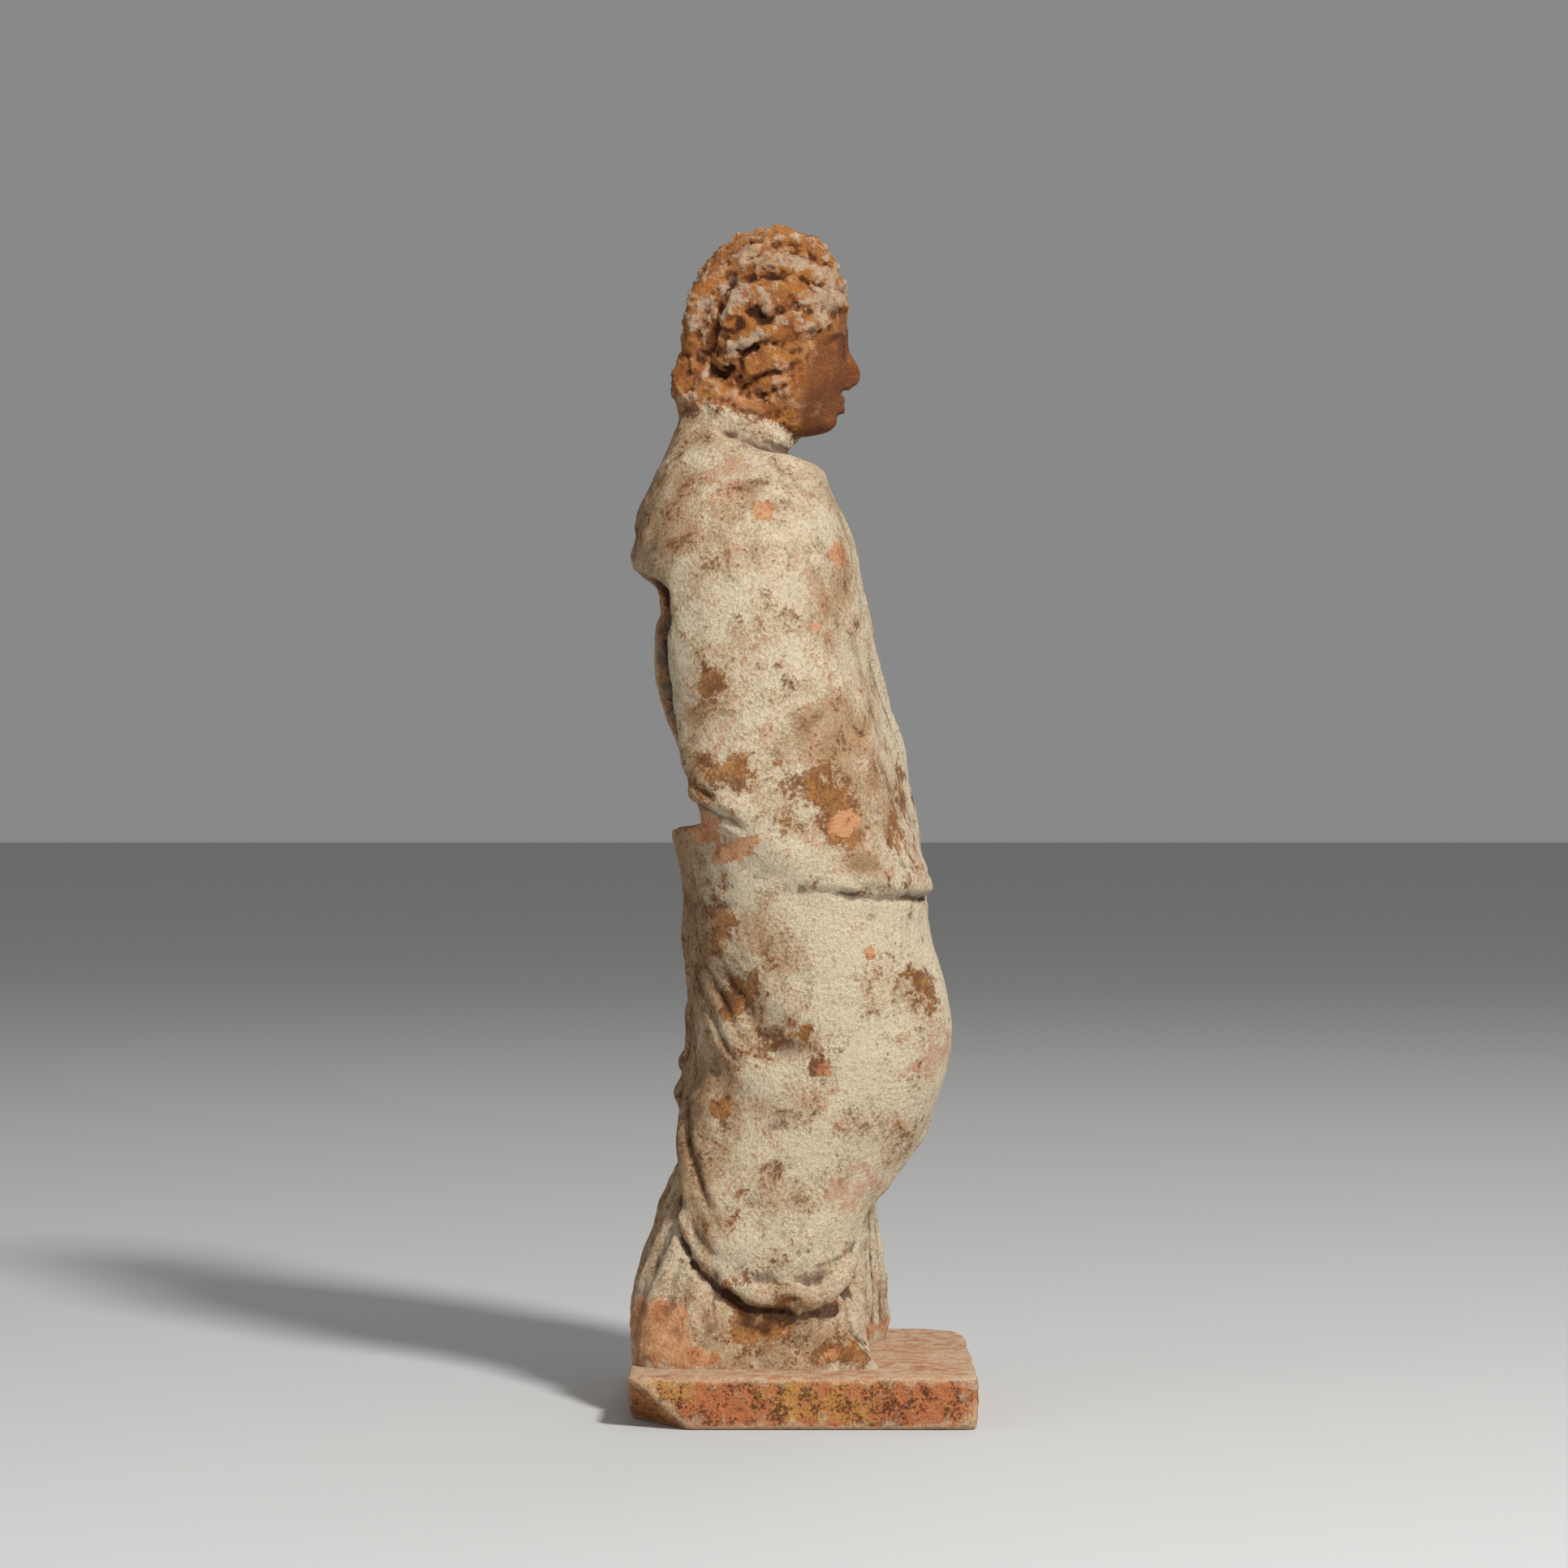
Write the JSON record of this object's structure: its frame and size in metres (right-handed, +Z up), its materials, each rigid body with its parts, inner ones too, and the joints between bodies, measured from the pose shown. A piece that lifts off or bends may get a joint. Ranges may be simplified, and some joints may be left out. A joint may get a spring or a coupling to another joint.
{
  "type": "draped woman terracotta figurine",
  "caption": "Standing draped woman in fired clay, hollow and open at the back, on a flat slab plinth. Stands on a shelf for display.",
  "frame": {"origin": "middle of the plinth's underside", "axes": "+Z up to the crown of the head, +X towards the figure's left, -Y the way it faces"},
  "size_m": [0.074, 0.0576, 0.1998],
  "materials": {
    "slipped_clay": "matt fired clay with worn cream-white slip",
    "plinth_clay": "matt fired clay, stained"
  },
  "bodies": {
    "root": {"figure": "slipped_clay", "plinth": "plinth_clay"}
  },
  "joints": []
}
